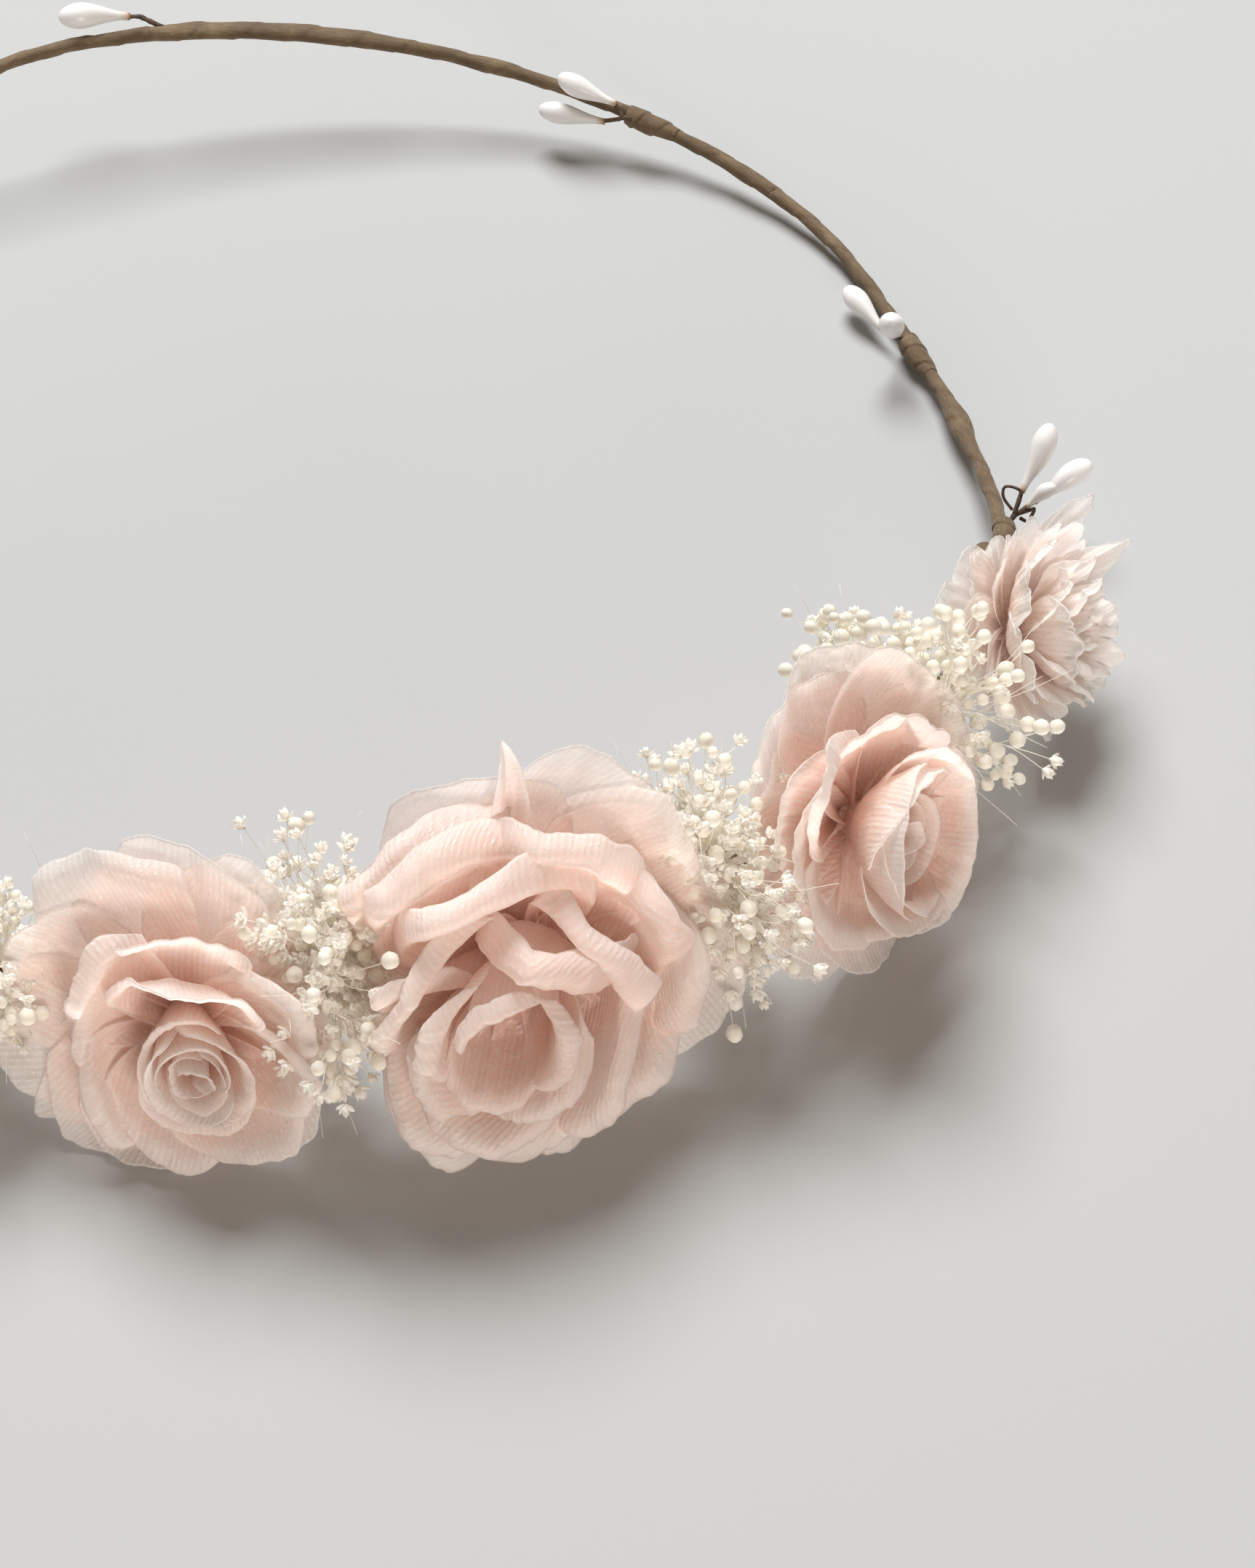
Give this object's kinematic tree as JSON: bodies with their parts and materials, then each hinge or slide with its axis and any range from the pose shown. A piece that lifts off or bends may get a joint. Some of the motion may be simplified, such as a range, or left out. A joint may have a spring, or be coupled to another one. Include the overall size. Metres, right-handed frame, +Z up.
{
  "type": "flower crown",
  "caption": "Wire hoop wound in brown paper tape, with blush fabric roses and dried gypsophila across the front and bendable sprigs of white pip buds round the back.",
  "frame": {"origin": "middle of the crown's footprint on the plane it rests on", "axes": "+Z up through the hoop, -Y towards the large front rose, +X towards the wearer's left-hand side of the hoop"},
  "size_m": [0.1856, 0.2026, 0.0412],
  "materials": {
    "hoop_wire": "dull annealed florist's wire",
    "paper_tape": "matte fibrous crepe paper, spirally wound",
    "stem_wire": "dark brown paper-covered fine wire",
    "bud_lacquer": "white satin lacquer",
    "rose_fabric": "blush sheer ribbed crepe silk, paler at the edges",
    "blossom_fabric": "blush sheer ribbed crepe silk, scalloped petals",
    "dried_gypsophila": "cream dried florets on hair-fine stems"
  },
  "bodies": {
    "crown": {"hoop_core_wire": "hoop_wire", "tape_front": "paper_tape", "tape_right_side": "paper_tape", "tape_right_back": "paper_tape", "tape_left_back": "paper_tape", "tape_left_side": "paper_tape", "tape_splice": "paper_tape", "rose_front_petals_outer": "rose_fabric", "rose_front_petals_middle": "rose_fabric", "rose_front_petals_inner": "rose_fabric", "rose_front_heart": "rose_fabric", "rose_front_stem": "stem_wire", "rose_left_petals_outer": "rose_fabric", "rose_left_petals_inner": "rose_fabric", "rose_left_heart": "rose_fabric", "rose_left_stem": "stem_wire", "rose_right_petals_outer": "rose_fabric", "rose_right_petals_inner": "rose_fabric", "rose_right_heart": "rose_fabric", "rose_right_stem": "stem_wire", "blossom_left_petals_outer": "blossom_fabric", "blossom_left_petals_inner": "blossom_fabric", "blossom_left_stem": "stem_wire", "blossom_right_petals_outer": "blossom_fabric", "blossom_right_petals_inner": "blossom_fabric", "blossom_right_stem": "stem_wire", "gypsophila_left": "dried_gypsophila", "gypsophila_front_left": "dried_gypsophila", "gypsophila_front_right": "dried_gypsophila", "gypsophila_right": "dried_gypsophila", "sprig_1_binding": "paper_tape", "sprig_2_binding": "paper_tape", "sprig_3_binding": "paper_tape", "sprig_5_binding": "paper_tape", "sprig_6_binding": "paper_tape", "sprig_7_binding": "paper_tape", "tape_knob_right": "paper_tape", "tape_knob_left": "paper_tape"},
    "sprig_1": {"sprig_1_stem": "stem_wire", "sprig_1_bud_a": "bud_lacquer", "sprig_1_bud_b": "bud_lacquer", "sprig_1_short_stem": "stem_wire", "sprig_1_short_bud": "bud_lacquer"},
    "sprig_2": {"sprig_2_stem": "stem_wire", "sprig_2_bud_a": "bud_lacquer", "sprig_2_bud_b": "bud_lacquer"},
    "sprig_3": {"sprig_3_stem": "stem_wire", "sprig_3_bud_a": "bud_lacquer", "sprig_3_bud_b": "bud_lacquer"},
    "sprig_4": {"sprig_4_stem": "stem_wire", "sprig_4_bud": "bud_lacquer"},
    "sprig_5": {"sprig_5_stem": "stem_wire", "sprig_5_bud_a": "bud_lacquer", "sprig_5_bud_b": "bud_lacquer"},
    "sprig_6": {"sprig_6_stem": "stem_wire", "sprig_6_bud_a": "bud_lacquer", "sprig_6_bud_b": "bud_lacquer"},
    "sprig_7": {"sprig_7_stem": "stem_wire", "sprig_7_bud_a": "bud_lacquer", "sprig_7_bud_b": "bud_lacquer"}
  },
  "joints": [
    {"name": "sprig_1_bend", "type": "hinge", "parent": "crown", "child": "sprig_1", "pos_m": [0.08172, -0.02293, 0.00765], "axis": [0.3196, 0.9304, -0.1796], "range_deg": [-30, 30]},
    {"name": "sprig_2_bend", "type": "hinge", "parent": "crown", "child": "sprig_2", "pos_m": [0.08265, 0.01766, 0.00333], "axis": [0.2411, 0.0418, 0.9696], "range_deg": [0, 35]},
    {"name": "sprig_3_bend", "type": "hinge", "parent": "crown", "child": "sprig_3", "pos_m": [0.06205, 0.06833, 0.00706], "axis": [0.3588, 0.1654, 0.9187], "range_deg": [0, 40]},
    {"name": "sprig_4_bend", "type": "hinge", "parent": "crown", "child": "sprig_4", "pos_m": [0.00235, 0.09846, 0.01787], "axis": [-0.0058, 0.7091, -0.7051], "range_deg": [0, 45]},
    {"name": "sprig_5_bend", "type": "hinge", "parent": "crown", "child": "sprig_5", "pos_m": [-0.06195, 0.06833, 0.00703], "axis": [0.3704, -0.1471, -0.9172], "range_deg": [0, 40]},
    {"name": "sprig_6_bend", "type": "hinge", "parent": "crown", "child": "sprig_6", "pos_m": [-0.08267, 0.01766, 0.00333], "axis": [0.2409, -0.0427, -0.9696], "range_deg": [0, 35]},
    {"name": "sprig_7_bend", "type": "hinge", "parent": "crown", "child": "sprig_7", "pos_m": [-0.08172, -0.02293, 0.00765], "axis": [0.3196, -0.9304, 0.1796], "range_deg": [-30, 30]}
  ]
}
